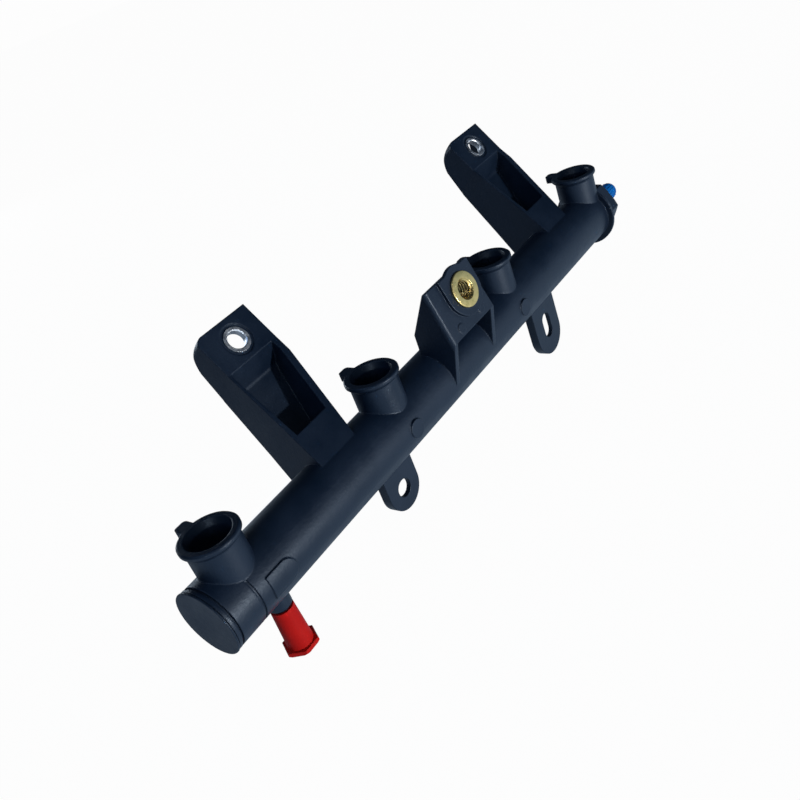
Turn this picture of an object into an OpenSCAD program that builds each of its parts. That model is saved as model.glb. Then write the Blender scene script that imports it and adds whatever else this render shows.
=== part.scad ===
// Fuel rail for a four cylinder engine: one black moulding with four injector cups, two bolt arms,
// a middle bracket and two tabs, with its steel and brass inserts, its test valve and two transit caps.
// X runs along the rail, Z out of the cups' mouths. The origin is the centre of the first cup's seat.

/* [Tube] */
// Outer diameter of the tube
tube_d = 24.25; // [23:0.25:27]
// Wall of the tube
tube_wall = 2.6; // [2.2:0.1:3]
// Tube beyond the first cup's axis, up to the joint with the end cap
near_overhang = 12; // [10.5:0.5:20]
// Distance from the last cup's axis to the collar
far_overhang = 1.9; // [1:0.1:4]

/* [Injector cups] */
// Distance between neighbouring cups
cup_pitch = 85; // [84:0.5:92]
// Height of a cup's mouth above the tube's axis
cup_height = 23.3; // [22.5:0.1:26]
// Outer diameter of the lip
cup_rim_d = 20.8; // [20.2:0.1:22]
// Height of the lip's straight part
cup_lip = 1.6; // [1:0.1:2]
// Outer diameter of the cup where it meets the tube
cup_neck_d = 18.2; // [17.6:0.1:19]
// Diameter of the mouth, at the wide end of its lead-in
cup_mouth_d = 16; // [15.4:0.1:16.8]
// Depth of the lead-in cone
cup_lead = 2.5; // [1.5:0.25:3.5]
// Diameter of the bore that an injector's seal slides in
cup_bore_d = 13.8; // [13:0.1:14.4]
// Wall between the seat and the tube's bore
seat_wall = 2.5; // [2:0.1:3.2]
// Diameter of the hole that feeds a cup
feed_d = 4; // [3:0.5:5]
// Width of the clip lug on each lip
lug_width = 5; // [3:0.5:7]
// Reach of the clip lug from the cup's axis
lug_reach = 14; // [12:0.1:16]
// Thickness of the clip lug
lug_thick = 3; // [2:0.25:4]

/* [Bolt arms] */
// Place of the first arm's left side along the rail, at its upper end
arm_x = 50.9; // [48:0.5:56]
// Width of an arm's pad
pad_width = 25.9; // [24:0.5:30]
// Slope of an arm's front face from the horizontal
arm_slope = 43.2; // [40:0.2:46]
// Slope of the pad from the horizontal
pad_slope = 54.3; // [50:0.2:58]
// Height of an arm's front face, measured square to it from the tube's axis
arm_front = 10.7; // [9:0.1:12]
// Distance of the bend line from the tube's axis, along the front face
bend_reach = 51.2; // [46:0.2:56]
// Length of the pad from the bend line to the tip
pad_length = 16.8; // [15:0.1:18]
// Thickness of the arm behind the pad
pad_thick = 14.35; // [12:0.05:16]
// Radius of the curve that the arm's back follows to the tip
tip_radius = 13.3; // [11:0.1:13.6]
// Radius of the pad's outer left corner
pad_corner = 3.5; // [1:0.5:6]
// How far the arm's right side runs in from the pad's edge, at the tube
arm_waist = 12.8; // [10:0.2:15]
// How far the arm's left side runs out from the pad's edge, at the tube
arm_flare = 5; // [2:0.2:6]
// Start of the pocket along the front face, from the tube's axis
pocket_start = 19.7; // [18:0.1:24]
// Thickness of the pocket's left wall at the bend line
pocket_left_wall = 1; // [0.8:0.1:3]
// Thickness of the pocket's right wall
pocket_right_wall = 2.9; // [2:0.1:4]
// Depth of the pocket's floor below the plane of the pad's face
pocket_depth = 7.6; // [7:0.1:9.4]
// Lean of the pocket's upper wall from the vertical
pocket_wall_lean = 15; // [10:1:25]
// Radius between the pocket's upper wall and its floor
pocket_fillet = 2; // [1:0.5:5]
// Lean of the pocket's right wall, inwards with depth
pocket_draft = 2; // [0:0.5:4]

/* [Sleeves] */
// Diameter of the bolt hole through a sleeve
bolt_hole_d = 7; // [6:0.1:8]
// Outer diameter of a sleeve
sleeve_d = 10; // [9:0.1:11]
// Distance of the sleeve's axis from the bend line, along the pad
sleeve_up = 8.2; // [7:0.1:10]
// Distance of the sleeve's axis from the pad's left edge
sleeve_side = 13.4; // [10:0.1:16]
// Length of a sleeve, and thickness of the pad round it
sleeve_length = 2.8; // [2.2:0.1:4]
// Thickness of the walls round the hollow behind a pad
pad_wall = 2.2; // [1.8:0.1:2.8]
// Diameter of the shallow recess around a sleeve
recess_d = 12.6; // [12:0.1:15]
// Depth of that recess
recess_depth = 0.5; // [0.2:0.1:1]

/* [Bracket] */
// Place of the bracket's middle along the rail
bracket_x = 128.3; // [124:0.5:132]
// Width of the bracket where it meets the tube
bracket_base = 30.9; // [28:0.1:34]
// Width of the bracket at its top edge
bracket_top = 28.2; // [26:0.1:30]
// Thickness of its plate and side webs
bracket_wall = 2.3; // [1.8:0.1:3]
// Height of the plate's lower edge above the tube's axis
plate_low = 16.7; // [15:0.1:20]
// Reach of the plate's lower edge in front of the tube's axis
plate_reach = 16.9; // [15:0.1:19]
// Slope of the plate from the horizontal
plate_slope = 73.7; // [70:0.1:80]
// Length of the plate up its slope
plate_length = 22.4; // [20:0.1:26]
// Height of the webs' back corner above the tube's axis
web_back = 21; // [18:0.5:24]
// Radius of the rounded fold on the plate's left side
fold_radius = 1.6; // [1:0.1:2.2]
// Height of the raised boss round the insert
boss_rise = 1.2; // [0.8:0.1:2]
// Diameter of that boss
boss_d = 20.3; // [18:0.1:22]

/* [Bracket insert] */
// Minor diameter of the insert's thread
insert_bore_d = 6.8; // [5:0.1:8]
// Outer diameter of the insert's body
insert_d = 10; // [9:0.1:11]
// Diameter of its flange
insert_flange_d = 14.2; // [13:0.1:16]
// Thickness of its flange
insert_flange = 1; // [0.6:0.1:2]
// Length of the insert below its flange
insert_length = 7.5; // [7:0.5:9]
// Place of the insert along the rail, from the bracket's middle
insert_x = 3.9; // [2:0.1:5]
// Place of the insert up the plate from its lower edge
insert_up = 13.6; // [12:0.1:16]

/* [Tabs] */
// Thickness of a tab at its rim
tab_depth = 4; // [3:0.25:5]
// Thickness of the plate inside the rim
tab_plate = 2; // [1.5:0.1:2.8]
// Width of a tab's rim
tab_rim = 2; // [1.5:0.1:2.5]
// Place of the near tab along the rail
tab_near_x = 77.3; // [74:0.5:84]
// Half width of the near tab, and the radius of its end
tab_near_r = 8.9; // [8:0.1:10]
// Drop of the near tab's hole below the tube's axis
tab_near_drop = 23.4; // [22:0.1:28]
// Place of the far tab along the rail
tab_far_x = 197.5; // [194:0.5:202]
// Half width of the far tab, and the radius of its end
tab_far_r = 10.2; // [9.2:0.1:11]
// Drop of the far tab's end centre below the tube's axis
tab_far_drop = 29.5; // [28:0.1:34]
// Drop of the far tab's slot centre below the tube's axis
slot_drop = 25.6; // [25:0.1:28]
// Diameter of the near tab's hole
tab_hole_d = 7.2; // [6:0.1:8]
// Width of the far tab's slot
slot_width = 6.5; // [5:0.1:7]
// Length of the far tab's slot
slot_length = 12; // [10:0.5:14]

/* [Inlet] */
// Place of the inlet along the rail
inlet_x = 9.6; // [9:0.1:10.4]
// Outer diameter of the inlet spigot
spigot_d = 6.3; // [5.5:0.1:6.6]
// Drop of the spigot's end below the tube's axis
spigot_drop = 33; // [30:0.5:38]
// Diameter of the collar at the spigot's root
spigot_root_d = 8.4; // [7.4:0.1:9.4]
// Drop of that collar's lower face below the tube's axis
spigot_root_drop = 16.4; // [15:0.1:16.8]
// Bore of the spigot
spigot_bore_d = 4; // [3:0.1:4.4]
// Diameter of the flat round the spigot's root
inlet_flat_d = 13; // [12:0.5:16]
// Depth of that flat below the tube's outside
inlet_flat = 0.9; // [0.5:0.1:1.2]
// Place along the rail where the raised land beside the inlet starts
land_x = 3.1; // [2.5:0.1:4]
// Length of the raised land
side_pad_length = 11.8; // [10:0.1:14]
// Height of the raised land
side_pad_height = 8.8; // [6:0.1:10]
// Rise of the raised land above the tube
side_pad_rise = 0.5; // [0.3:0.1:1]

/* [End cap] */
// Diameter of the welded end cap
cap_d = 24.8; // [24.4:0.1:27]
// Thickness of the end cap's disc
cap_thick = 3; // [2.5:0.1:4]
// Radius of its outer edge
cap_edge = 0.25; // [0.15:0.05:0.3]
// Length of the ring that locates the cap in the tube
cap_ring = 2.2; // [1:0.2:4]

/* [Valve end] */
// Diameter of the collar behind the last cup
collar_d = 29.4; // [27:0.1:31]
// Thickness of the collar
collar_thick = 1.4; // [1.2:0.1:3]
// Width across the flats of the hexagon
hex_flats = 22.6; // [20:0.1:24]
// Length of the hexagon
hex_length = 9.8; // [8:0.1:11]
// Diameter of the valve stem's thread
stem_d = 6.2; // [6:0.1:6.6]
// Length of the stem outside its flange
stem_length = 15.3; // [12:0.1:17]
// Diameter of the stem's anchor in the moulding
anchor_d = 9; // [8:0.1:10]
// Diameter of the bore that holds the valve core
core_bore_d = 4.2; // [4:0.1:4.4]
// Diameter of the dust cap
dust_cap_d = 8.6; // [8.2:0.1:10]

/* [Red transit cap] */
// Diameter of the cap's open end
transit_top_d = 8.3; // [8.1:0.1:9.4]
// Diameter of the cap at its hexagon
transit_low_d = 9.6; // [9.4:0.1:10.6]
// Drop of the cap's open end below the tube's axis
transit_top_drop = 17.5; // [16:0.1:20]
// Width across the flats of the cap's hexagon
transit_hex = 11.5; // [11:0.1:13]
// Thickness of the cap's hexagon
transit_hex_thick = 1.7; // [1.6:0.1:3]

/* [Fits] */
// Clearance of a piece that is slid on by hand
slide_gap = 0.1; // [0.05:0.05:0.2]
// Clearance round small inner pieces
inner_gap = 0.05; // [0.02:0.01:0.1]

/* [Hidden] */
$fn = 96;
eps = 0.01;
cup_count = 4;
tube_r = tube_d / 2;
bore_r = tube_r - tube_wall;
seat_z = bore_r + seat_wall;
cups_x = [for (i = [0:cup_count - 1]) i * cup_pitch];
last_cup_x = cups_x[cup_count - 1];
collar_x = last_cup_x + far_overhang;
hex_x = collar_x + collar_thick;
bore_end_x = hex_x + 0.7;
valve_x = hex_x + hex_length;
anchor_length = hex_length - 2;
arm_step = 2 * cup_pitch;
arms_x = [arm_x, arm_x + arm_step];

// Unit directions of an arm's two faces, as [y, z]
front_dir = [cos(arm_slope), sin(arm_slope)];
front_normal = [-sin(arm_slope), cos(arm_slope)];
pad_dir = [cos(pad_slope), sin(pad_slope)];
pad_in = [sin(pad_slope), -cos(pad_slope)];
arm_bend = bend_reach * front_dir + arm_front * front_normal;
tip_front = arm_bend + pad_length * pad_dir;
tip_back = tip_front + pad_thick * pad_in;
back_length = pad_length + 36.4;
back_low = tip_back - back_length * pad_dir;
pocket_back = [bend_reach, pocket_start];

// The bracket's plate, as [y, z]
plate_dir = [cos(plate_slope), sin(plate_slope)];
plate_out = [-sin(plate_slope), cos(plate_slope)];
plate_foot = [-plate_reach, plate_low];
plate_head = plate_foot + plate_length * plate_dir;

// Draws a [y, z] outline and extrudes it along the rail
module along_x(from, length) {
    translate([from, 0, 0]) rotate([90, 0, 90]) linear_extrude(length) children();
}

// A cylinder along the rail
module rod_x(from, length, d) {
    translate([from, 0, 0]) rotate([0, 90, 0]) cylinder(h = length, d = d);
}

// Puts a piece that is drawn about the tube's axis into the part's frame
module in_frame() {
    translate([0, 0, -seat_z]) children();
}

// Outside of one injector cup, with its clip lug
module cup_outside() {
    rim_r = cup_rim_d / 2;
    neck_r = cup_neck_d / 2;
    edge = 0.5;
    lug_corner = 1.4;
    lip_z = cup_height - cup_lip;
    rotate_extrude() polygon([
        [0, tube_r / 3], [neck_r, tube_r / 3], [neck_r, lip_z - rim_r + neck_r],
        [rim_r, lip_z], [rim_r, cup_height - edge], [rim_r - edge, cup_height], [0, cup_height]]);
    translate([0, 0, cup_height - lug_thick]) linear_extrude(lug_thick) {
        translate([-lug_width / 2, 0]) square([lug_width, lug_reach - lug_corner]);
        translate([lug_corner - lug_width / 2, 0]) square([lug_width - 2 * lug_corner, lug_reach]);
        for (side = [-1, 1])
            translate([side * (lug_width / 2 - lug_corner), lug_reach - lug_corner]) circle(lug_corner);
    }
}

// Inside of one cup: lead-in cone, bore, seat and feed hole
module cup_inside() {
    lead_z = cup_height - cup_lead;
    translate([0, 0, seat_z]) cylinder(h = lead_z - seat_z + eps, d = cup_bore_d);
    translate([0, 0, lead_z]) cylinder(h = cup_lead, d1 = cup_bore_d, d2 = cup_mouth_d);
    translate([0, 0, cup_height - eps]) cylinder(h = 1, d = cup_mouth_d);
    cylinder(h = seat_z + eps, d = feed_d);
}

// The arm's section across the rail: sloping front, pad, back that curves to the tip, and root
module arm_section() {
    under = back_low + [-3.2, -4.4];
    curve_at = pad_length - tip_radius;
    curve_up = 0.3;
    beyond = 1;
    knee = arm_bend - 3.8 * pad_dir + pad_thick * pad_in;
    deep = arm_bend + 12 * pad_dir + (pad_thick - 3.07) * pad_in;
    tip = arm_bend + (pad_length + beyond) * pad_dir;
    difference() {
        polygon([[-bore_r / 2, bore_r - 1], -12 * front_dir + arm_bend - 33.5 * front_dir, arm_bend,
                 tip, tip + 9 * pad_in, deep, knee, back_low, under, [bore_r, -1]]);
        translate(arm_bend) rotate(pad_slope) difference() {
            translate([curve_at + 4, -pad_thick]) square([tip_radius + beyond, pad_thick + beyond]);
            translate([curve_at, curve_up]) circle(tip_radius);
        }
    }
}

// The arm's outline seen square to its front face: x along the rail, y away from the tube's axis
module arm_outline() {
    low = 4;
    shoulder = bend_reach - 7;
    high = bend_reach + pad_length + 5;
    polygon([[-arm_flare, low], [pad_width - arm_waist, low], [pad_width - 0.8, shoulder],
             [pad_width, bend_reach], [pad_width, high], [0, high], [0, bend_reach],
             [-arm_flare / 2, bend_reach / 2]]);
}

// Places something drawn on an arm's pad: X along the rail, Y up the pad, Z out of its face
module on_pad() {
    translate([0, arm_bend[0], arm_bend[1]]) rotate([pad_slope, 0, 0]) children();
}

// Hollow behind the pad, open at the back
module pad_hollow() {
    slant = tan(pad_slope - arm_slope);
    low = pad_wall + 0.6;
    high = pad_length - pad_wall;
    on_pad() translate([pad_wall, 0, 0]) rotate([90, 0, 90]) linear_extrude(pad_width - 2 * pad_wall)
        polygon([
            [low - slant * sleeve_length, -sleeve_length], [high, -sleeve_length],
            [high, -pad_thick - 1], [low - slant * (pad_thick + 1), -pad_thick - 1]]);
}

// Rounds the pad's outer left corner
module pad_corner_cut() {
    on_pad() difference() {
        translate([-1, pad_length - pad_corner, -pad_thick - 1]) cube([pad_corner + 1, pad_corner + 1, pad_thick + 2]);
        translate([pad_corner, pad_length - pad_corner, -pad_thick - 2]) cylinder(h = pad_thick + 4, r = pad_corner);
    }
}

// One solid bolt arm
module arm_blank() {
    intersection() {
        along_x(-arm_flare - 1, pad_width + arm_flare + 2) arm_section();
        rotate([arm_slope, 0, 0]) translate([0, 0, -40]) linear_extrude(80) arm_outline();
    }
}

// The pocket in the arm's front face
module arm_pocket() {
    rim_left = -arm_flare / 4 + pocket_left_wall;
    wall_dir = [sin(pocket_wall_lean), -cos(pocket_wall_lean)];
    foot = arm_bend + pocket_depth / (wall_dir * pad_in) * wall_dir;
    floor_turn = pad_slope - 90;
    tangent = pocket_fillet * tan((pocket_wall_lean - floor_turn) / 2);
    centre = foot - tangent * wall_dir - pocket_fillet * [cos(pocket_wall_lean), sin(pocket_wall_lean)];
    steps = 6;
    reach = 60;
    right_low = pad_width - arm_waist - pocket_right_wall;
    low = 4;
    shoulder = bend_reach - 7;
    edge_turn = atan2(shoulder - low, arm_waist - 0.8);
    difference() {
        intersection() {
            rotate([arm_slope, 0, 0]) translate([0, 0, -40]) linear_extrude(80)
                polygon([[rim_left - 1, pocket_start], [pad_width, pocket_start],
                         [pad_width, bend_reach], [pocket_left_wall, bend_reach]]);
            along_x(-arm_flare, pad_width + 2 * arm_flare)
                polygon(concat([arm_bend - 3 * wall_dir],
                    [for (k = [0:steps])
                        let (turn = pocket_wall_lean + (floor_turn - pocket_wall_lean) * k / steps)
                        centre + pocket_fillet * [cos(turn), sin(turn)]],
                    [foot - reach * pad_dir, foot - reach * pad_dir - 40 * pad_in]));
        }
        rotate([arm_slope, 0, 0]) translate([right_low, low, arm_front])
            rotate([0, 0, edge_turn]) rotate([pocket_draft, 0, 0])
                translate([-20, -60, -60]) cube([120, 60, 120]);
        rotate([arm_slope, 0, 0]) translate([pad_width - pocket_right_wall, 0, -40])
            cube([20, 100, 80]);
    }
}

// Places something drawn about a sleeve's axis: Z out of the pad, zero on the pad's face
module at_sleeve() {
    centre = arm_bend + sleeve_up * pad_dir;
    translate([sleeve_side, centre[0], centre[1]]) rotate([pad_slope, 0, 0]) children();
}

// One bolt arm with its pocket, sleeve hole and recess
module arm() {
    difference() {
        arm_blank();
        arm_pocket();
        pad_hollow();
        pad_corner_cut();
        at_sleeve() translate([0, 0, -pad_thick - 1]) cylinder(h = pad_thick + 2, d = sleeve_d);
        at_sleeve() translate([0, 0, -recess_depth]) cylinder(h = 1, d = recess_d);
    }
}

// Outline of a web across the rail, from the tube to the plate and back
module web_section() {
    polygon([[-tube_r + 0.25, -1.8], plate_foot, plate_head,
             plate_head - bracket_wall * 0.6 * plate_out,
             [0.4, web_back], [0.4, tube_r - 1.5], [-6, 2]]);
}

// The bracket seen from the front, as a solid wedge that is narrower at the top
module bracket_front(inset) {
    half_base = bracket_base / 2 - inset;
    half_top = bracket_top / 2 - inset;
    height = plate_head[1];
    grow = (half_base - half_top) / height;
    translate([0, 40, 0]) rotate([90, 0, 0]) linear_extrude(80)
        polygon([[-half_base - grow * 5, -5], [half_base + grow * 5, -5],
                 [half_top - grow * 5, height + 5], [-half_top + grow * 5, height + 5]]);
}

// Places something drawn on the plate: X along the rail, Y up the plate, Z out of its face
module on_plate() {
    translate([0, plate_foot[0], plate_foot[1]]) rotate([plate_slope, 0, 0]) children();
}

// The bracket: a tilted plate on two webs, open below, with a boss for the insert
module bracket() {
    hole_d = insert_d;
    difference() {
        union() {
            difference() {
                intersection() {
                    along_x(-bracket_base, 2 * bracket_base) web_section();
                    bracket_front(0);
                }
                intersection() {
                    bracket_front(bracket_wall);
                    along_x(-bracket_base, 2 * bracket_base) difference() {
                        translate([-40, -20]) square([80, 80]);
                        polygon([plate_foot, plate_head + 5 * plate_dir,
                                 plate_head + 5 * plate_dir - bracket_wall * plate_out,
                                 plate_foot - bracket_wall * plate_out]);
                    }
                }
            }
            intersection() {
                on_plate() union() {
                    translate([insert_x, insert_up, -0.5]) cylinder(h = boss_rise + 0.5, d = boss_d);
                    translate([insert_x - boss_d / 2, insert_up, -0.5])
                        cube([boss_d, plate_length - insert_up, boss_rise + 0.5]);
                }
                bracket_front(0);
            }
            on_plate() translate([insert_x, insert_up, -insert_length])
                cylinder(h = insert_length - 0.5, d = insert_d + 3);
            for (mark = [[-6.6, 2.8], [7.9, 3.1]])
                on_plate() translate([mark[0], mark[1], -1]) cylinder(h = 1.2, d = 4);
        }
        on_plate() translate([insert_x, insert_up, -insert_length - 1])
            cylinder(h = insert_length + boss_rise + 2, d = hole_d);
        fold_cut();
    }
}

// Rounds the fold between the plate and its left web
module fold_cut() {
    lean = atan2((bracket_base - bracket_top) / 2, plate_head[1]);
    left_foot = -bracket_base / 2 + (bracket_base - bracket_top) / 2 * plate_low / plate_head[1];
    on_plate() translate([left_foot, -2, 0]) rotate([0, 0, -lean]) difference() {
        translate([-1, 0, -fold_radius]) cube([fold_radius + 1, plate_length + 6, fold_radius + 1]);
        translate([fold_radius, -1, -fold_radius]) rotate([-90, 0, 0])
            cylinder(h = plate_length + 8, r = fold_radius);
    }
}

// Outline of a tab, seen from the front: straight sides and a round end
module tab_outline(r, drop) {
    translate([0, -drop]) circle(r);
    translate([-r, -drop]) square([2 * r, drop - bore_r - 0.5]);
}

// A tab: a plate with a rim at the back, drawn at its place on the rail
module tab(x, r, drop) {
    translate([x, 0, 0]) rotate([90, 0, 0]) difference() {
        translate([0, 0, -tab_depth / 2]) linear_extrude(tab_depth) tab_outline(r, drop);
        translate([0, 0, -tab_depth / 2 - 1]) linear_extrude(tab_depth - tab_plate + 1)
            intersection() {
                tab_outline(r - tab_rim, drop);
                translate([-r, -2 * drop]) square([2 * r, 2 * drop - tube_r - 1]);
            }
    }
}

// Both tabs with their hole and slot
module tabs() {
    slot_half = (slot_length - slot_width) / 2;
    difference() {
        union() {
            tab(tab_near_x, tab_near_r, tab_near_drop);
            tab(tab_far_x, tab_far_r, tab_far_drop);
        }
        translate([tab_near_x, 5, -tab_near_drop]) rotate([90, 0, 0]) cylinder(h = 10, d = tab_hole_d);
        for (end = [-1, 1])
            translate([tab_far_x, 5, -slot_drop + end * slot_half]) rotate([90, 0, 0])
                cylinder(h = 10, d = slot_width);
        translate([tab_far_x - slot_width / 2, -5, -slot_drop - slot_half])
            cube([slot_width, 10, 2 * slot_half]);
    }
}

// Outside of the tube, turned about its axis, with a seam near its open end
module tube_outside() {
    seam_x = -1.75;
    seam_half = 0.45;
    seam_r = tube_r - 0.5;
    far_end = collar_x + 0.5;
    rotate([0, 90, 0]) rotate_extrude() polygon([
        [0, -near_overhang], [tube_r, -near_overhang], [tube_r, seam_x - seam_half],
        [seam_r, seam_x - seam_half], [seam_r, seam_x + seam_half], [tube_r, seam_x + seam_half],
        [tube_r, far_end], [0, far_end]]);
}

// Raised marks of the mould on the tube's front: a land beside the inlet and two round ejector discs
module tube_marks() {
    disc_d = 7.2;
    disc_rise = 0.45;
    pad_r = side_pad_height / 2;
    pad_up = 0.3;
    intersection() {
        rod_x(land_x, side_pad_length, tube_d + 2 * side_pad_rise);
        translate([0, -bore_r - 1, pad_up]) rotate([90, 0, 0]) union() {
            translate([land_x - 1, -pad_r, 0])
                cube([side_pad_length - pad_r + 1, side_pad_height, tube_wall + 2]);
            translate([land_x + side_pad_length - pad_r, 0, 0]) cylinder(h = tube_wall + 2, r = pad_r);
        }
    }
    for (i = [1, 2])
        translate([cups_x[i], -bore_r - 1, 0]) rotate([90, 0, 0])
            cylinder(h = tube_r + disc_rise - bore_r - 1, d = disc_d);
}

// Inlet spigot under the tube, with the collar at its root
module spigot() {
    translate([inlet_x, 0, -spigot_drop]) cylinder(h = spigot_drop - bore_r - 0.5, d = spigot_d);
    translate([inlet_x, 0, -spigot_root_drop]) cylinder(h = spigot_root_drop - bore_r - 0.5, d = spigot_root_d);
}

// The closed far end: a round collar and a hexagon with bevelled corners
module valve_end() {
    corner_r = hex_flats / 2 / cos(30);
    flat_r = hex_flats / 2;
    rod_x(collar_x, collar_thick, collar_d);
    intersection() {
        translate([hex_x - 1, 0, 0]) rotate([0, 90, 0]) rotate([0, 0, 30])
            cylinder(h = hex_length + 1, r = corner_r, $fn = 6);
        translate([hex_x, 0, 0]) rotate([0, 90, 0]) rotate_extrude() polygon([
            [0, -0.5], [flat_r - 0.2, -0.5], [flat_r - 0.2, 0.3], [corner_r + 0.1, 3.2],
            [corner_r + 0.1, hex_length - 0.8], [flat_r + 0.4, hex_length], [0, hex_length]]);
    }
}

// The whole moulding
module rail_body() {
    color([0.13, 0.15, 0.19]) in_frame() difference() {
        union() {
            difference() {
                tube_outside();
                translate([inlet_x, 0, -tube_r - 1]) cylinder(h = 1 + inlet_flat, d = inlet_flat_d);
            }
            for (x = cups_x) translate([x, 0, 0]) cup_outside();
            for (x = arms_x) translate([x, 0, 0]) arm();
            translate([bracket_x, 0, 0]) bracket();
            tabs();
            tube_marks();
            spigot();
            valve_end();
        }
        for (x = cups_x) translate([x, 0, 0]) cup_inside();
        rod_x(-near_overhang - 1, bore_end_x + near_overhang + 1, 2 * bore_r);
        rod_x(bore_end_x - 1, hex_length, 3);
        rod_x(valve_x - anchor_length, anchor_length + 1, anchor_d);
        translate([inlet_x, 0, -spigot_drop - 1]) cylinder(h = spigot_drop - bore_r + 3, d = spigot_bore_d);
    }
}

// Welded cap on the near end: a disc with a rounded edge and a ring that locates it in the bore
module end_cap() {
    disc_r = cap_d / 2;
    ring_r = bore_r - slide_gap;
    groove = 0.8;
    groove_deep = 0.6;
    band_r = disc_r - 0.2;
    lip = 0.55;
    slit = 0.3;
    color([0.14, 0.16, 0.20]) in_frame()
        translate([-near_overhang, 0, 0]) rotate([0, -90, 0]) rotate_extrude() polygon([
            [0, 0], [ring_r - 2, 0], [ring_r - 2, -cap_ring], [ring_r, -cap_ring], [ring_r, 0],
            [tube_r - groove_deep, 0], [tube_r - groove_deep, groove], [band_r, groove],
            [band_r, cap_thick - lip - slit], [band_r - slit, cap_thick - lip - slit],
            [band_r - slit, cap_thick - lip], [disc_r, cap_thick - lip], [disc_r, cap_thick - cap_edge], [disc_r - cap_edge * 0.3, cap_thick - cap_edge * 0.3],
            [disc_r - cap_edge, cap_thick], [0, cap_thick]]);
}

// Steel sleeve that takes the bolt's load in an arm
module sleeve(i) {
    bevel = 0.4;
    sleeve_r = sleeve_d / 2;
    hole_r = bolt_hole_d / 2;
    color([0.78, 0.78, 0.80]) in_frame() translate([arms_x[i], 0, 0]) at_sleeve()
        difference() {
            translate([0, 0, -sleeve_length]) cylinder(h = sleeve_length, r = sleeve_r);
            translate([0, 0, -sleeve_length - 1]) cylinder(h = sleeve_length + 2, r = hole_r);
            translate([0, 0, -bevel]) cylinder(h = bevel + eps, r1 = hole_r, r2 = hole_r + bevel);
        }
}

// Flanged brass insert in the bracket's boss
module bracket_insert() {
    bevel = 0.9;
    rim = 0.3;
    bore = insert_bore_d / 2;
    color([0.80, 0.66, 0.36]) in_frame() translate([bracket_x, 0, 0]) on_plate()
        translate([insert_x, insert_up, boss_rise]) difference() {
            union() {
                cylinder(h = insert_flange - rim, d = insert_flange_d);
                translate([0, 0, insert_flange - rim])
                    cylinder(h = rim, d1 = insert_flange_d, d2 = insert_flange_d - 2 * rim);
                translate([0, 0, -insert_length]) cylinder(h = insert_length + eps, d = insert_d);
            }
            translate([0, 0, -insert_length - 1])
                cylinder(h = insert_length + insert_flange + 2, r = bore);
            translate([0, 0, insert_flange - bevel])
                cylinder(h = bevel + eps, r1 = bore, r2 = bore + bevel);
        }
}

// Red cap over the inlet spigot: a tapered sleeve with a closed hexagon end
module inlet_transit_cap() {
    low_z = -spigot_drop;
    hex_low = low_z - 2.3;
    body = -transit_top_drop - low_z;
    color([0.80, 0.12, 0.10]) in_frame() translate([inlet_x, 0, 0]) difference() {
        union() {
            translate([0, 0, low_z - 1]) cylinder(h = body + 1, d1 = transit_low_d, d2 = transit_top_d);
            translate([0, 0, hex_low]) intersection() {
                cylinder(h = transit_hex_thick, d = transit_hex / cos(30), $fn = 6);
                cylinder(h = transit_hex_thick, d1 = transit_hex / cos(30) - 1,
                         d2 = transit_hex / cos(30) + 3);
            }
        }
        translate([0, 0, low_z]) cylinder(h = body + 1, d = spigot_d + 2 * slide_gap);
    }
}

// Brass stem of the test valve, held by its anchor in the hexagon
module valve_stem() {
    rim_d = anchor_d + 1.6;
    rim = 1.2;
    groove = 0.6;
    inner = valve_x - anchor_length;
    color([0.78, 0.65, 0.38]) in_frame() difference() {
        union() {
            rod_x(inner, anchor_length + eps, anchor_d);
            rod_x(valve_x, rim, rim_d);
            rod_x(valve_x + rim - eps, stem_length + eps, stem_d);
        }
        difference() {
            rod_x(inner + 2, 1.5, anchor_d + 2);
            rod_x(inner + 1, 4, anchor_d - 2 * groove);
        }
        rod_x(inner + 1.5, anchor_length + rim + stem_length, core_bore_d);
        rod_x(inner - 1, anchor_length, 2.4);
    }
}

// Places along the valve's axis that its inner pieces share
valve_tip_x = valve_x + 1.2 + stem_length;
spring_x = valve_x - anchor_length + 1.5;
spring_length = 4;
plate_x = spring_x + spring_length;
plate_thick = 0.8;
seal_thick = 0.8;
barrel_x = plate_x + plate_thick + seal_thick;
gasket_thick = 1;
pin_d = 1;

// Threaded barrel of the valve core, in two steps with a groove for its gasket
module core_barrel() {
    outer_d = core_bore_d - 2 * inner_gap;
    gasket_at = 4;
    color([0.75, 0.62, 0.35]) in_frame() difference() {
        rod_x(barrel_x, valve_tip_x - barrel_x - 0.5, outer_d);
        rod_x(barrel_x - 1, valve_tip_x, pin_d + 0.6);
        difference() {
            rod_x(barrel_x + gasket_at, gasket_thick, outer_d + 1);
            rod_x(barrel_x + gasket_at - 1, gasket_thick + 2, outer_d - 1.2);
        }
    }
}

// Sealing ring in the barrel's groove
module core_gasket() {
    outer_d = core_bore_d - 2 * inner_gap;
    gasket_at = 4;
    color([0.60, 0.20, 0.18]) in_frame() difference() {
        rod_x(barrel_x + gasket_at, gasket_thick, outer_d);
        rod_x(barrel_x + gasket_at - 1, gasket_thick + 2, outer_d - 1.2);
    }
}

// Pin with the plate that the spring pushes against the barrel
module core_pin() {
    color([0.76, 0.64, 0.38]) in_frame() union() {
        rod_x(plate_x, plate_thick, 3.2);
        rod_x(plate_x + plate_thick - eps, valve_tip_x - plate_x - plate_thick - 0.2, pin_d);
    }
}

// Rubber washer between the plate and the barrel
module core_seal() {
    color([0.10, 0.10, 0.11]) in_frame() difference() {
        rod_x(plate_x + plate_thick, seal_thick, 3.6);
        rod_x(plate_x, 3, pin_d + 2 * inner_gap);
    }
}

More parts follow.
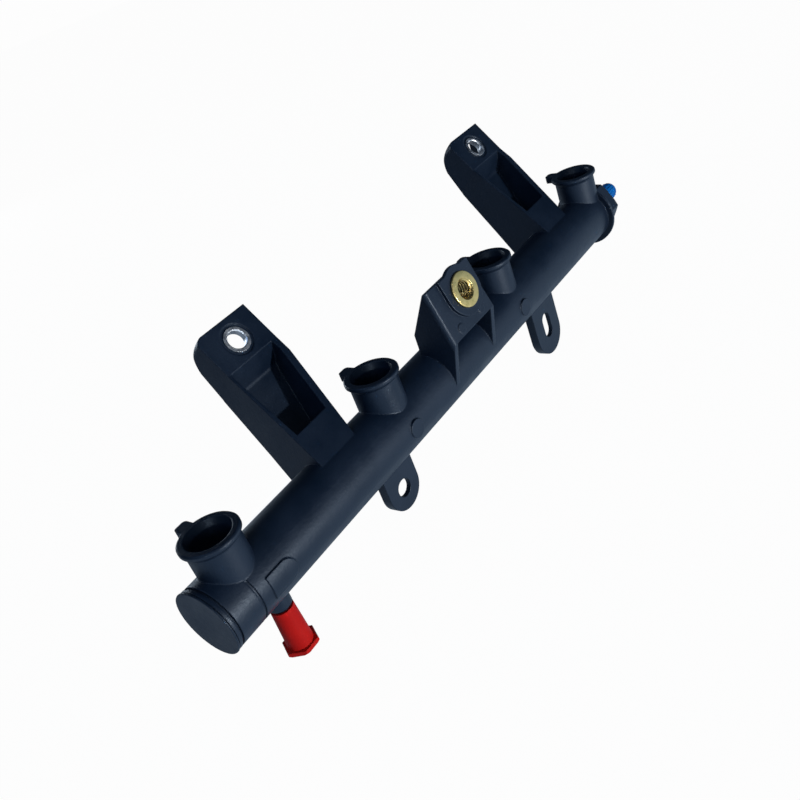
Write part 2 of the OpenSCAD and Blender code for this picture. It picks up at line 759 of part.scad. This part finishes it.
// Coil spring under the plate: a round wire swept along a helix
module core_spring() {
    turns = 5;
    sides = 8;
    steps = 14;
    wire_r = 0.2;
    coil_r = 1.3;
    rings = turns * steps;
    rise = (spring_length - 2 * wire_r) / turns;
    points = [for (k = [0:rings]) let (a = 360 * k / steps) for (j = [0:sides - 1])
        let (b = 360 * j / sides, r = coil_r + wire_r * cos(b))
        [spring_x + wire_r + rise * k / steps + wire_r * sin(b), r * cos(a), r * sin(a)]];
    walls = [for (k = [0:rings - 1]) for (j = [0:sides - 1])
        let (n = (j + 1) % sides) [k * sides + j, k * sides + n, (k + 1) * sides + n, (k + 1) * sides + j]];
    first = [for (j = [0:sides - 1]) sides - 1 - j];
    last = [for (j = [0:sides - 1]) rings * sides + j];
    color([0.75, 0.75, 0.76]) in_frame() polyhedron(points, concat(walls, [first, last]));
}

// Blue cap over the valve stem, with grip ribs
module dust_cap() {
    wall_end = 1.6;
    from = valve_x + 1.4;
    inside = valve_tip_x + 0.9;
    ribs = 18;
    color([0.05, 0.42, 0.80]) in_frame() difference() {
        union() {
            translate([from, 0, 0]) rotate([0, 90, 0]) rotate_extrude() polygon([
                [0, 0], [dust_cap_d / 2 - 0.15, 0], [dust_cap_d / 2 - 0.15, inside - from],
                [dust_cap_d / 2 - 0.5, inside - from + wall_end - 0.4],
                [dust_cap_d / 2 - 1.1, inside - from + wall_end], [0, inside - from + wall_end]]);
            for (i = [0:ribs - 1])
                rotate([360 * i / ribs, 0, 0]) translate([from + 1, -0.2, dust_cap_d / 2 - 0.6])
                    cube([inside - from - 1, 0.4, 0.6]);
        }
        rod_x(from - 1, inside - from + 1, stem_d + 2 * slide_gap);
    }
}

// Washer inside the blue cap that seals on the stem's end
module dust_cap_seal() {
    color([0.12, 0.12, 0.13]) in_frame() rod_x(valve_tip_x, 0.9, stem_d);
}

rail_body();
end_cap();
sleeve(0);  // near_sleeve
sleeve(1);  // far_sleeve
bracket_insert();
inlet_transit_cap();
valve_stem();
core_barrel();
core_gasket();
core_pin();
core_seal();
core_spring();
dust_cap();
dust_cap_seal();
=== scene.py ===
# %% [markdown]
# # A moulded fuel rail
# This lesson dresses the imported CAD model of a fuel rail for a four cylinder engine. It is a nylon
# tube with four cups for the injectors, two bolt arms, a bracket, two tabs, a capped inlet and a
# capped test valve. The solids come from the part's own CAD source, so their shapes and places are
# fixed. Blender adds the finishes, a brass insert with a real thread, the light and the camera.

# %% Load the fixed frame
import math
import bpy
from mathutils import Vector, Matrix


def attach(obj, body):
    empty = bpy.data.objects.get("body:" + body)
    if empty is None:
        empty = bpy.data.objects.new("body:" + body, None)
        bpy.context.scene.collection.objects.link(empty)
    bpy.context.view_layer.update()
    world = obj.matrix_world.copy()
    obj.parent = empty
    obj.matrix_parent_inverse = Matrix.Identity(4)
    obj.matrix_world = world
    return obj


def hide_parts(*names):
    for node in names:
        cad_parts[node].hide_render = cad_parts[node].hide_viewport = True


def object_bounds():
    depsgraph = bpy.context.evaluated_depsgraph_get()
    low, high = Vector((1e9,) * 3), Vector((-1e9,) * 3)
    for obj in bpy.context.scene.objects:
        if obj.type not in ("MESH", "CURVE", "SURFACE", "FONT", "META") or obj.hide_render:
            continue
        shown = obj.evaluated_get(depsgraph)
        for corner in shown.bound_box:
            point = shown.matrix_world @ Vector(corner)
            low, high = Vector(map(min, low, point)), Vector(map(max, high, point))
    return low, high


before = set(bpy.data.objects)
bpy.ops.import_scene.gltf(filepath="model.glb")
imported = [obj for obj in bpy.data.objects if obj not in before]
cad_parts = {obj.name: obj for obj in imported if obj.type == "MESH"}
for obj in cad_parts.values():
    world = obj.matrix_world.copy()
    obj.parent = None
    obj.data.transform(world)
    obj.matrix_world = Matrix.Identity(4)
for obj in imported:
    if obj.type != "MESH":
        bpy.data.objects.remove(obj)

cad_low, cad_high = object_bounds()
MM = 0.001
print("nodes:", sorted(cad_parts))
print("CAD box in mm:", [round(v / MM, 1) for v in cad_low], [round(v / MM, 1) for v in cad_high])

# %% [markdown]
# The Standard view transform shows each colour as it is. A film-like transform would turn the
# white table grey.

# %% Colour handling
scene = bpy.context.scene
scene.view_settings.view_transform = "Standard"
print("view transform:", scene.view_settings.view_transform)


# %% [markdown]
# ## Helpers for materials
# A material is a tree of nodes. Four small helpers keep the trees short: one puts a value or
# another node's output into a socket, one adds a sum, one stretches a range of numbers, and one
# mixes two colours. A mask is a number from 0 to 1 that says where something shows.

# %% Small helpers for node trees
MASK = (0.0, 1.0)


def feed(tree, socket, value):
    """Links another node's output to a socket, or writes a number or an opaque colour there."""
    if isinstance(value, bpy.types.NodeSocket):
        tree.links.new(value, socket)
    elif isinstance(value, tuple):
        socket.default_value = (*value, 1.0)
    else:
        socket.default_value = value


def add_math(tree, operation, first, second):
    """The result of a Math node with two inputs."""
    node = tree.nodes.new("ShaderNodeMath")
    node.operation = operation
    feed(tree, node.inputs[0], first)
    feed(tree, node.inputs[1], second)
    return node.outputs[0]


def map_range(tree, value, from_range, to_range=MASK):
    """Stretches one range of numbers onto another, and holds what lies outside at its ends."""
    node = tree.nodes.new("ShaderNodeMapRange")
    feed(tree, node.inputs["Value"], value)
    sockets = ("From Min", "From Max", "To Min", "To Max")
    for socket, number in zip(sockets, (*from_range, *to_range)):
        feed(tree, node.inputs[socket], number)
    return node.outputs[0]


def mix_colours(tree, mask, first, second):
    """The first colour where the mask is 0 and the second where it is 1."""
    node = tree.nodes.new("ShaderNodeMix")
    node.data_type = "RGBA"
    feed(tree, node.inputs["Factor"], mask)
    feed(tree, node.inputs["A"], first)
    feed(tree, node.inputs["B"], second)
    return node.outputs["Result"]


# %% [markdown]
# ## Grain
# Moulded nylon is never quite even. The steel mould was spark eroded, which leaves a fine grain,
# and the melt cools in soft patches that reflect a little more or less. One node group makes both,
# a height for the bump and a slow mottle, so every finish can use it with its own scales.

# %% Group: moulded grain
SPECKLE_SCALE = 0.4
SPECKLE_HEIGHT = 1.6


def add_noise(tree, where, scale, detail, roughness):
    """A cloud of noise that is finer where the scale is higher."""
    noise = tree.nodes.new("ShaderNodeTexNoise")
    feed(tree, noise.inputs["Vector"], where)
    feed(tree, noise.inputs["Scale"], scale)
    feed(tree, noise.inputs["Detail"], detail)
    feed(tree, noise.inputs["Roughness"], roughness)
    return noise.outputs["Fac"]


def make_moulded_grain():
    """Fine grain with coarser speckles as a height, and a cloudy mottle as a mask."""
    group = bpy.data.node_groups.new("moulded grain", "ShaderNodeTree")
    for name in ("Grain Scale", "Mottle Scale"):
        group.interface.new_socket(name, in_out="INPUT", socket_type="NodeSocketFloat")
    for name in ("Height", "Mottle"):
        group.interface.new_socket(name, in_out="OUTPUT", socket_type="NodeSocketFloat")
    inlet = group.nodes.new("NodeGroupInput")
    outlet = group.nodes.new("NodeGroupOutput")
    where = group.nodes.new("ShaderNodeTexCoord").outputs["Object"]
    grain_scale = inlet.outputs["Grain Scale"]
    grain = add_noise(group, where, grain_scale, detail=2.0, roughness=0.6)
    speckle_scale = add_math(group, "MULTIPLY", grain_scale, SPECKLE_SCALE)
    speckle = add_noise(group, where, speckle_scale, detail=1.0, roughness=0.5)
    height = add_math(group, "ADD", grain, add_math(group, "MULTIPLY", speckle, SPECKLE_HEIGHT))
    feed(group, outlet.inputs["Height"], height)
    mottle = add_noise(group, where, inlet.outputs["Mottle Scale"], detail=5.0, roughness=0.62)
    feed(group, outlet.inputs["Mottle"], mottle)
    return group


MOULDED_GRAIN = make_moulded_grain()
print("group:", MOULDED_GRAIN.name, "with", len(MOULDED_GRAIN.nodes), "nodes")


# %% [markdown]
# ## Edges and corners
# No moulded or turned edge is razor sharp: a small radius catches a thin line of light. The Bevel
# node gives that line without a change of the mesh. Deep grooves and inner corners gather dust and
# send little light back, so a second helper finds them with the Ambient Occlusion node. The plastics
# are duller there, and in the brass insert's hole the colour is darkened there as painted shade.

# %% Parts that all finishes share
RAYS = 8
OPEN_SKY = (0.35, 0.80)
TONE_BAND = (0.35, 0.65)
ROUGH_BAND = (0.3, 0.7)


def start_material(name):
    """A new node material with its tree and its Principled shader."""
    material = bpy.data.materials.new(name)
    material.use_nodes = True
    tree = material.node_tree
    return material, tree, tree.nodes["Principled BSDF"]


def cavity(tree, distance):
    """1 deep in grooves and inner corners, 0 on open faces."""
    node = tree.nodes.new("ShaderNodeAmbientOcclusion")
    node.samples = RAYS
    node.inputs["Distance"].default_value = distance
    return map_range(tree, node.outputs["AO"], OPEN_SKY, (1.0, 0.0))


def soft_edge(tree, radius):
    """The normal of a surface whose edges have a small radius."""
    node = tree.nodes.new("ShaderNodeBevel")
    node.samples = RAYS
    node.inputs["Radius"].default_value = radius
    return node.outputs["Normal"]


def add_grain(tree, grain_scale, mottle_scale):
    """Places the grain group and gives its height and its mottle."""
    node = tree.nodes.new("ShaderNodeGroup")
    node.node_tree = MOULDED_GRAIN
    node.inputs["Grain Scale"].default_value = grain_scale
    node.inputs["Mottle Scale"].default_value = mottle_scale
    return node.outputs["Height"], node.outputs["Mottle"]


def mottled_colour(tree, mottle, tones):
    """Two tones in soft patches."""
    return mix_colours(tree, map_range(tree, mottle, TONE_BAND), *tones)


def mottled_roughness(tree, mottle, rough_range):
    """Shinier and duller patches."""
    return map_range(tree, mottle, ROUGH_BAND, rough_range)


def bump_surface(tree, shader, height, strength, depth, edge_radius):
    """Raises the grain on a surface with soft edges."""
    bump = tree.nodes.new("ShaderNodeBump")
    bump.inputs["Strength"].default_value = strength
    bump.inputs["Distance"].default_value = depth
    feed(tree, bump.inputs["Height"], height)
    feed(tree, bump.inputs["Normal"], soft_edge(tree, edge_radius))
    feed(tree, shader.inputs["Normal"], bump.outputs["Normal"])


# %% [markdown]
# ## Plastics
# All plastics and the rubber seals come from one maker: satin, slightly uneven, and dull in the
# grooves, where a bright reflection would look like wet paint.

# %% Plastic maker
WHITE = (1.0, 1.0, 1.0)
NYLON_GRAIN = 2600.0
NYLON_MOTTLE = 60.0
PLASTIC_GRAIN_DEPTH = 0.05 * MM
GROOVE_REACH = 1.2 * MM


def moulded_plastic(name, tones, rough_range, edge_radius, grain_strength, shine, shine_tint=WHITE):
    """Satin moulded plastic with fine grain, soft edges and dull grooves."""
    material, tree, shader = start_material(name)
    height, mottle = add_grain(tree, NYLON_GRAIN, NYLON_MOTTLE)
    feed(tree, shader.inputs["Base Color"], mottled_colour(tree, mottle, tones))
    rough = mottled_roughness(tree, mottle, rough_range)
    rough = add_math(tree, "MAXIMUM", rough, cavity(tree, GROOVE_REACH))
    feed(tree, shader.inputs["Roughness"], rough)
    feed(tree, shader.inputs["Specular IOR Level"], shine)
    feed(tree, shader.inputs["Specular Tint"], shine_tint)
    bump_surface(tree, shader, height, grain_strength, PLASTIC_GRAIN_DEPTH, edge_radius)
    print("plastic:", name)
    return material


# %% [markdown]
# The body is glass-filled nylon: nearly black with a cold blue cast, and satin rather than glossy.
# Its shine is tinted too, because black plastic shows mostly what it mirrors.

# %% Black nylon
black_nylon = moulded_plastic(
    "black nylon",
    tones=((0.0020, 0.0068, 0.0178), (0.0034, 0.0095, 0.0230)),
    rough_range=(0.36, 0.56),
    edge_radius=0.7 * MM,
    grain_strength=0.6,
    shine=0.42,
    shine_tint=(0.74, 0.86, 1.0),
)

# %% [markdown]
# A red cap keeps dirt out of the inlet until the hose goes on, and a blue one covers the test
# valve. Both are plain dyed plastic, so the colour is strong and the shine is weak. The seals
# inside are nearly black rubber.

# %% Cap plastics and seal rubber
red_plastic = moulded_plastic(
    "red cap plastic",
    tones=((0.42, 0.007, 0.006), (0.50, 0.011, 0.008)),
    rough_range=(0.52, 0.60),
    edge_radius=0.3 * MM,
    grain_strength=0.12,
    shine=0.10,
)
blue_plastic = moulded_plastic(
    "blue cap plastic",
    tones=((0.000, 0.100, 0.38), (0.001, 0.130, 0.46)),
    rough_range=(0.45, 0.55),
    edge_radius=0.5 * MM,
    grain_strength=0.12,
    shine=0.12,
)
seal_rubber = moulded_plastic(
    "seal rubber",
    tones=((0.012, 0.012, 0.013), (0.020, 0.020, 0.021)),
    rough_range=(0.60, 0.75),
    edge_radius=0.1 * MM,
    grain_strength=0.2,
    shine=0.5,
)


# %% [markdown]
# ## Metals
# The bolt sleeves are turned steel, and the insert and the valve are turned brass. Handling and
# plating leave small lighter and duller spots, so the mottle is much finer than on the nylon. Deep
# in the insert's hole the brass is painted darker, as painted shade.

# %% Metal maker
METAL_GRAIN = 4000.0
METAL_MOTTLE = 500.0
METAL_GRAIN_STRENGTH = 0.1
METAL_GRAIN_DEPTH = 0.02 * MM
HOLE_SHADE_REACH = 3.0 * MM


def turned_metal(name, tones, rough_range, edge_radius, painted_hole_shade=None):
    """Turned metal in two tones, painted darker deep in its holes as painted shade if a colour for that is
    given.
    """
    material, tree, shader = start_material(name)
    height, mottle = add_grain(tree, METAL_GRAIN, METAL_MOTTLE)
    colour = mottled_colour(tree, mottle, tones)
    if painted_hole_shade is not None:
        # Painted shade: deep in holes and grooves the colour turns towards the given dark one.
        colour = mix_colours(tree, cavity(tree, HOLE_SHADE_REACH), colour, painted_hole_shade)
    feed(tree, shader.inputs["Base Color"], colour)
    feed(tree, shader.inputs["Roughness"], mottled_roughness(tree, mottle, rough_range))
    feed(tree, shader.inputs["Metallic"], 1.0)
    bump_surface(tree, shader, height, METAL_GRAIN_STRENGTH, METAL_GRAIN_DEPTH, edge_radius)
    print("metal:", name)
    return material


# %% Steel and brass
sleeve_steel = turned_metal(
    "sleeve steel",
    tones=((0.46, 0.47, 0.49), (0.88, 0.89, 0.91)),
    rough_range=(0.28, 0.50),
    edge_radius=0.15 * MM,
)
insert_brass = turned_metal(
    "insert brass",
    tones=((0.72, 0.53, 0.19), (0.84, 0.63, 0.26)),
    rough_range=(0.24, 0.38),
    edge_radius=0.15 * MM,
    # painted shade: a dark brown painted deep in the threaded hole
    painted_hole_shade=(0.20, 0.13, 0.05),
)
valve_brass = turned_metal(
    "valve brass",
    tones=((0.66, 0.47, 0.20), (0.76, 0.58, 0.29)),
    rough_range=(0.22, 0.34),
    edge_radius=0.1 * MM,
)

# %% [markdown]
# ## Finishes on the CAD pieces
# Each CAD piece takes one finish. Only its material slot changes, never its mesh or its place.

# %% Dress the CAD pieces
FINISHES = {
    "rail_body": black_nylon,
    "end_cap": black_nylon,
    "near_sleeve": sleeve_steel,
    "far_sleeve": sleeve_steel,
    "bracket_insert": insert_brass,
    "inlet_transit_cap": red_plastic,
    "valve_stem": valve_brass,
    "core_barrel": valve_brass,
    "core_pin": valve_brass,
    "core_spring": sleeve_steel,
    "core_gasket": seal_rubber,
    "core_seal": seal_rubber,
    "dust_cap": blue_plastic,
    "dust_cap_seal": seal_rubber,
}
for node_name, finish in FINISHES.items():
    piece = bpy.data.objects[node_name]
    piece.data.materials.clear()
    piece.data.materials.append(finish)
    print("finish:", node_name, "->", finish.name)


# %% [markdown]
# ## The threaded brass insert
# The insert in the bracket is a brass bush with a flange, pressed into the boss while it is hot.
# Its thread takes an 8 mm screw. The CAD solid has a plain bore at the thread's inner diameter, so
# that the physics stays simple. Here the bush is turned again as a ring, and a threaded rod made by
# a Screw modifier is cut out of it, as a tap would do. The base is the middle of the flange's
# underside, and the axis points out of the bracket's face.

# %% Sizes of the insert
INSERT_BASE = Vector((132.2, -14.235, 18.065)) * MM
INSERT_AXIS = Vector((0.0, -0.9598, 0.2807)).normalized()
FLANGE_RADIUS = 7.1 * MM
FLANGE_THICK = 1.0 * MM
FLANGE_EDGE = 0.35 * MM
BUSH_RADIUS = 4.98 * MM
BUSH_LENGTH = 7.5 * MM
MOUTH_RADIUS = 4.3 * MM
PILOT_RADIUS = 3.2 * MM


# %% [markdown]
# A lathe turns a bush by its outline. The same is done here: a circle is extruded from one point of
# the outline to the next and resized on the way, and the last ring closes on the first. The
# flange's rim is rounded by a few points on a quarter circle. The pilot hole is a little smaller
# than the thread's inner diameter, so that the tap cuts all round.

# %% Turn the bush
MERGE_GAP = 0.002 * MM
BUSH_SEGMENTS = 96
ROUND_STEPS = 4


def turn_ring(name, profile, segments):
    """Extrudes a circle from one (radius, height) to the next and closes the last to the first."""
    bpy.ops.object.select_all(action="DESELECT")
    radius, height = profile[0]
    bpy.ops.mesh.primitive_circle_add(vertices=segments, radius=radius, location=(0.0, 0.0, height))
    ring = bpy.context.object
    ring.name = name
    bpy.ops.object.mode_set(mode="EDIT")
    bpy.ops.mesh.select_all(action="SELECT")
    for next_radius, next_height in profile[1:] + profile[:1]:
        rise = (0.0, 0.0, next_height - height)
        bpy.ops.mesh.extrude_region_move(TRANSFORM_OT_translate={"value": rise})
        grow = next_radius / radius
        bpy.ops.transform.resize(value=(grow, grow, 1.0), center_override=(0.0, 0.0, next_height))
        radius, height = next_radius, next_height
    bpy.ops.mesh.select_all(action="SELECT")
    bpy.ops.mesh.remove_doubles(threshold=MERGE_GAP)
    bpy.ops.mesh.normals_make_consistent(inside=False)
    bpy.ops.object.mode_set(mode="OBJECT")
    return ring


rim_turns = [math.radians(90.0 * step / ROUND_STEPS) for step in range(ROUND_STEPS + 1)]
rim_points = [
    (FLANGE_RADIUS - FLANGE_EDGE * (1 - math.sin(turn)), FLANGE_THICK - FLANGE_EDGE * (1 - math.cos(turn)))
    for turn in rim_turns
]
bush_profile = [
    (MOUTH_RADIUS, FLANGE_THICK),
    *rim_points,
    (FLANGE_RADIUS, 0.0),
    (BUSH_RADIUS, 0.0),
    (BUSH_RADIUS, -BUSH_LENGTH),
    (PILOT_RADIUS, -BUSH_LENGTH),
    (PILOT_RADIUS, FLANGE_THICK - (MOUTH_RADIUS - PILOT_RADIUS)),
]
insert = turn_ring("threaded_insert", bush_profile, BUSH_SEGMENTS)
print("bush:", len(insert.data.vertices), "points")

# %% [markdown]
# The tap is a threaded rod. Its edge is drawn first, as one row of teeth with the usual 60 degree
# flanks. Teeth 1.25 mm apart are swept once round the axis while they climb by one pitch, so each
# tooth ends where the next one began and the row becomes a helix. Both ends are then cut flat.

# %% Thread sizes
THREAD_INNER = 3.4 * MM
THREAD_OUTER = 4.0 * MM
THREAD_PITCH = 1.25 * MM
TEETH = 11
HELIX_STEPS = 64
TAP_SPARE = 0.5 * MM
FLANK_ANGLE = math.radians(30.0)
crest = THREAD_PITCH / 8
depth = THREAD_OUTER - THREAD_INNER
flank = depth * math.tan(FLANK_ANGLE)
valley = THREAD_PITCH - crest - 2 * flank
print("thread depth, crest and valley in mm:", [round(v / MM, 3) for v in (depth, crest, valley)])

# %% A threaded rod as the tap
tap_foot = -BUSH_LENGTH - 2 * THREAD_PITCH
bpy.ops.object.select_all(action="DESELECT")
bpy.ops.mesh.primitive_plane_add(size=THREAD_PITCH, location=(THREAD_INNER, 0.0, tap_foot))
tap = bpy.context.object
bpy.ops.object.transform_apply(location=True, rotation=False, scale=False)
bpy.ops.object.mode_set(mode="EDIT")
bpy.ops.mesh.select_all(action="SELECT")
bpy.ops.mesh.merge(type="CENTER")
for tooth in range(TEETH):
    for move in ((0.0, 0.0, valley), (depth, 0.0, flank), (0.0, 0.0, crest), (-depth, 0.0, flank)):
        bpy.ops.mesh.extrude_region_move(TRANSFORM_OT_translate={"value": move})
bpy.ops.object.mode_set(mode="OBJECT")
helix = tap.modifiers.new("helix", "SCREW")
helix.axis = "Z"
helix.angle = math.tau
helix.screw_offset = THREAD_PITCH
helix.steps = HELIX_STEPS
helix.render_steps = HELIX_STEPS
bpy.ops.object.modifier_apply(modifier=helix.name)
print("helix:", len(tap.data.vertices), "points")

# %% Close the tap's ends
bpy.ops.object.mode_set(mode="EDIT")
bpy.ops.mesh.select_all(action="SELECT")
bpy.ops.mesh.remove_doubles(threshold=MERGE_GAP)
for height, outwards in ((-BUSH_LENGTH - TAP_SPARE, -1.0), (FLANGE_THICK + TAP_SPARE, 1.0)):
    bpy.ops.mesh.select_all(action="SELECT")
    bpy.ops.mesh.bisect(
        plane_co=(0.0, 0.0, height), plane_no=(0.0, 0.0, outwards), use_fill=True, clear_outer=True)
bpy.ops.mesh.select_all(action="SELECT")
bpy.ops.mesh.normals_make_consistent(inside=False)
bpy.ops.object.mode_set(mode="OBJECT")
print("tap:", len(tap.data.vertices), "points")

# %% [markdown]
# The tap is taken out of the bush by a Boolean. The bush was turned upright at the origin, so its
# mesh is now moved into the bracket, and its object stays at the origin as a CAD piece does.

# %% Cut the thread and seat the insert
SMOOTH_ANGLE = math.radians(30.0)
bpy.context.view_layer.objects.active = insert
cut = insert.modifiers.new("thread", "BOOLEAN")
cut.operation = "DIFFERENCE"
cut.solver = "EXACT"
cut.object = tap
bpy.ops.object.modifier_apply(modifier=cut.name)
bpy.data.objects.remove(tap)
bpy.ops.object.select_all(action="DESELECT")
insert.select_set(True)
bpy.ops.object.shade_smooth_by_angle(angle=SMOOTH_ANGLE)
tilt = INSERT_AXIS.to_track_quat("Z", "X").to_matrix().to_4x4()
insert.data.transform(Matrix.Translation(INSERT_BASE) @ tilt @ Matrix.Translation(insert.location))
insert.location = (0.0, 0.0, 0.0)
insert.data.materials.clear()
insert.data.materials.append(insert_brass)
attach(insert, "root")
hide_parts("bracket_insert")
corners = [insert.matrix_world @ v.co for v in insert.data.vertices]
print("insert now:", [round(min(c[i] for c in corners) / MM, 2) for i in range(3)],
      [round(max(c[i] for c in corners) / MM, 2) for i in range(3)])


# %% [markdown]
# ## Floor and room
# Black nylon shows its shape mostly by what it mirrors. The rail is over a white table in a dim,
# cool room: its lower front mirrors the pale table, and its top mirrors the dim room. The camera
# sees table and room as white. A mirrored ray sees a cooler, greyer white, and for the light that
# falls on the rail the table has no glow and the room is dim.

# %% What the camera and a mirror see
MIRRORED_WHITE = 0.68
SHADE_LEVEL = 0.15
MIRRORED_RANGE = (MIRRORED_WHITE, MIRRORED_WHITE * SHADE_LEVEL)


def seen_mask(tree, mirrored_share):
    """1 for rays from the camera, a share for mirrored rays, 0 for rays that light the object."""
    path = tree.nodes.new("ShaderNodeLightPath")
    mirrored = add_math(tree, "MULTIPLY", path.outputs["Is Glossy Ray"], mirrored_share)
    seen = add_math(tree, "MAXIMUM", path.outputs["Is Camera Ray"], path.outputs["Is Transmission Ray"])
    return add_math(tree, "MAXIMUM", seen, mirrored)


def seen_white(tree, tint):
    """White for the camera and a tint for all other rays."""
    path = tree.nodes.new("ShaderNodeLightPath")
    return mix_colours(tree, path.outputs["Is Camera Ray"], tint, WHITE)


def split_place(tree, space):
    """The X, Y and Z sockets of a place or a direction."""
    where = tree.nodes.new("ShaderNodeTexCoord")
    split = tree.nodes.new("ShaderNodeSeparateXYZ")
    feed(tree, split.inputs["Vector"], where.outputs[space])
    return split.outputs


# %% [markdown]
# The table is one large plane. A face that mirrors the table behind the rail would look too pale,
# so a mask dims it there, for mirrored rays only. The table in front of the rail and beyond its
# inlet end stays bright, because the tube's lower side and the end cap mirror it.

# %% Floor
FLOOR_SIZE = 60.0
FLOOR_CENTRE_X = 0.12
FLOOR_GREY = (0.9, 0.9, 0.9)
FLOOR_ROUGHNESS = 0.9
WHITE_SHARE = 0.975
MIRRORED_TINT = (0.62, 0.80, 1.0)
FAR_Y = (0.06, 0.14)
BEHIND_Y = (-0.01, 0.03)
BESIDE_X = (-0.182, -0.160)
bpy.ops.object.select_all(action="DESELECT")
bpy.ops.mesh.primitive_plane_add(size=FLOOR_SIZE, location=(FLOOR_CENTRE_X, 0.0, cad_low.z))
floor = bpy.context.object
floor.name = "floor"
floor_material, floor_tree, floor_shader = start_material("floor white")
feed(floor_tree, floor_shader.inputs["Base Color"], FLOOR_GREY)
feed(floor_tree, floor_shader.inputs["Roughness"], FLOOR_ROUGHNESS)
floor.data.materials.append(floor_material)
print("floor at z", round(cad_low.z / MM, 1), "mm")

# %% Glow of the floor
on_floor = split_place(floor_tree, "Object")
far_off = map_range(floor_tree, on_floor["Y"], FAR_Y)
behind = map_range(floor_tree, on_floor["Y"], BEHIND_Y)
beside = map_range(floor_tree, on_floor["X"], BESIDE_X)
shaded = add_math(floor_tree, "MAXIMUM", far_off, add_math(floor_tree, "MULTIPLY", behind, beside))
lit_floor = map_range(floor_tree, shaded, MASK, MIRRORED_RANGE)
glow = floor_tree.nodes.new("ShaderNodeEmission")
feed(floor_tree, glow.inputs["Color"], seen_white(floor_tree, MIRRORED_TINT))
feed(floor_tree, glow.inputs["Strength"], 1.0)
blend = floor_tree.nodes.new("ShaderNodeMixShader")
share = add_math(floor_tree, "MULTIPLY", seen_mask(floor_tree, lit_floor), WHITE_SHARE)
feed(floor_tree, blend.inputs["Fac"], share)
feed(floor_tree, blend.inputs[1], floor_shader.outputs["BSDF"])
feed(floor_tree, blend.inputs[2], glow.outputs["Emission"])
floor_out = floor_tree.nodes["Material Output"]
feed(floor_tree, floor_out.inputs["Surface"], blend.outputs["Shader"])
print("floor tree:", len(floor_tree.nodes), "nodes")

# %% [markdown]
# The room is the world round the table. For mirrored rays its horizon is pale in front of the rail
# and much dimmer behind it, and fades out 17 degrees up. Above that, and for the light that falls
# on the rail, the room has one low, cool level that fills the shadows.

# %% World
ROOM_LEVEL = 0.065
ROOM_TINT = (0.48, 0.70, 1.0)
SEEN_LEVEL = 0.983
HORIZON_HEIGHT = 0.30
LIT_SIDE_Y = (-0.2, 0.2)
world = bpy.data.worlds.new("white table in a dim room")
scene.world = world
world.use_nodes = True
world_tree = world.node_tree
direction = split_place(world_tree, "Generated")
low_sky = map_range(world_tree, direction["Z"], (0.0, HORIZON_HEIGHT), (1.0, 0.0))
lit_side = map_range(world_tree, direction["Y"], LIT_SIDE_Y, MIRRORED_RANGE)
horizon = add_math(world_tree, "MULTIPLY", low_sky, lit_side)
strength = map_range(world_tree, seen_mask(world_tree, horizon), MASK, (ROOM_LEVEL, SEEN_LEVEL))
background = world_tree.nodes["Background"]
feed(world_tree, background.inputs["Strength"], strength)
feed(world_tree, background.inputs["Color"], seen_white(world_tree, ROOM_TINT))
print("world tree:", len(world_tree.nodes), "nodes")


# %% [markdown]
# ## Lamps
# One small, low lamp in front of the rail is the key: it gives most of the light. A large cool
# lamp above and to the left lightens the shadows, two weaker ones at the front and the left pick
# out the pads and the end cap, and one behind lights the sides that look away from the camera.

# %% Place the lamps
RAIL_MIDDLE = Vector((0.125, 0.0, 0.0))
LAMPS = {
    "key": {"place": (0.14, -1.10, -0.02), "size": 0.05, "power": 9.5, "colour": WHITE},
    "fill": {"place": (-0.5, 0.3, 1.1), "size": 0.6, "power": 2.0, "colour": (0.45, 0.65, 1.0)},
    "front": {"place": (-0.05, -0.75, 0.75), "size": 0.10, "power": 0.45, "colour": WHITE},
    "left": {"place": (-0.70, -0.50, 0.30), "size": 0.20, "power": 1.3, "colour": (0.80, 0.90, 1.0)},
    "back": {"place": (0.20, 1.15, 0.0), "size": 0.5, "power": 3.5, "colour": (0.75, 0.87, 1.0)},
}


def add_lamp(name, place, size, power, colour):
    """A round area lamp that looks at the rail's middle."""
    data = bpy.data.lights.new(name, "AREA")
    data.shape = "DISK"
    data.size = size
    data.energy = power
    data.color = colour
    lamp = bpy.data.objects.new(name, data)
    bpy.context.collection.objects.link(lamp)
    lamp.location = place
    lamp.rotation_euler = (RAIL_MIDDLE - lamp.location).to_track_quat("-Z", "Y").to_euler()


for lamp_name, lamp_values in LAMPS.items():
    add_lamp(lamp_name, **lamp_values)
    print("lamp:", lamp_name, lamp_values["power"], "W")

# %% [markdown]
# ## Camera
# The camera stands in front of the inlet end and a little above the rail, so the near cup looks
# larger than the far one. Its place, turn and lens were fitted to the cups' rims and the tube.

# %% Camera
CAMERA_PLACE = Vector((-100.88, -201.78, 148.43)) * MM
RIGHT = Vector((0.5452, -0.7739, -0.3221))
UP = Vector((0.5777, 0.0685, 0.8133))
BACK = Vector((-0.6074, -0.6295, 0.4845))
SENSOR = 36.0
FOCAL_PIXELS = 861.28
PICTURE_PIXELS = 800
camera_data = bpy.data.cameras.new("camera")
camera_data.sensor_width = SENSOR
camera_data.lens = FOCAL_PIXELS / PICTURE_PIXELS * SENSOR
camera_data.clip_start = 0.01
camera_data.clip_end = 50.0
camera = bpy.data.objects.new("camera", camera_data)
bpy.context.collection.objects.link(camera)
scene.camera = camera
turn = Matrix((RIGHT, UP, BACK)).transposed().normalized()
camera.matrix_world = Matrix.Translation(CAMERA_PLACE) @ turn.to_4x4()
print("camera at", tuple(round(v, 4) for v in camera.location))
